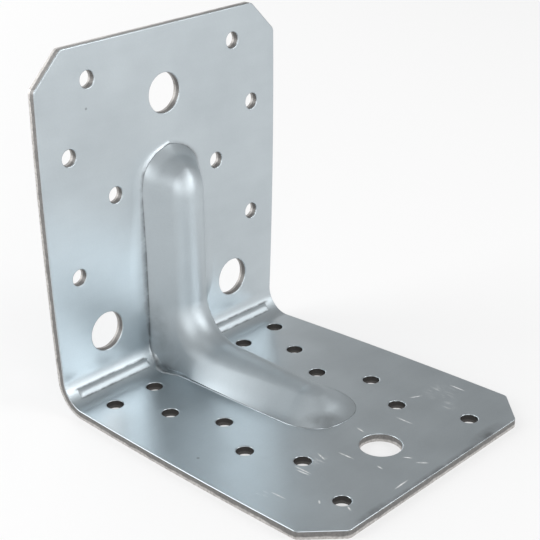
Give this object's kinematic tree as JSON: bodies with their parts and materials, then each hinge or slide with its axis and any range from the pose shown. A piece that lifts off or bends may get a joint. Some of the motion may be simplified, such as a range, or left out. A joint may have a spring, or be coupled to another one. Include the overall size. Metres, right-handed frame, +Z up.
{
  "type": "ribbed angle bracket",
  "caption": "Right-angle bracket of pressed zinc-coated steel sheet with a stiffening rib over the bend, cut corners, nail holes and larger bolt holes in both legs.",
  "frame": {"origin": "on the surface that the bracket stands on, below the centre of its bounding box", "axes": "+X across the width, +Y from the free end of the base leg to the outer face of the upright leg, +Z up along the upright leg"},
  "size_m": [0.0914, 0.103, 0.105],
  "materials": {
    "zinc_steel": "satin zinc coating, smooth and cool grey, with soft blurred reflections; sheared edges rougher and browner"
  },
  "bodies": {
    "root": {"bracket": "zinc_steel"}
  },
  "joints": []
}
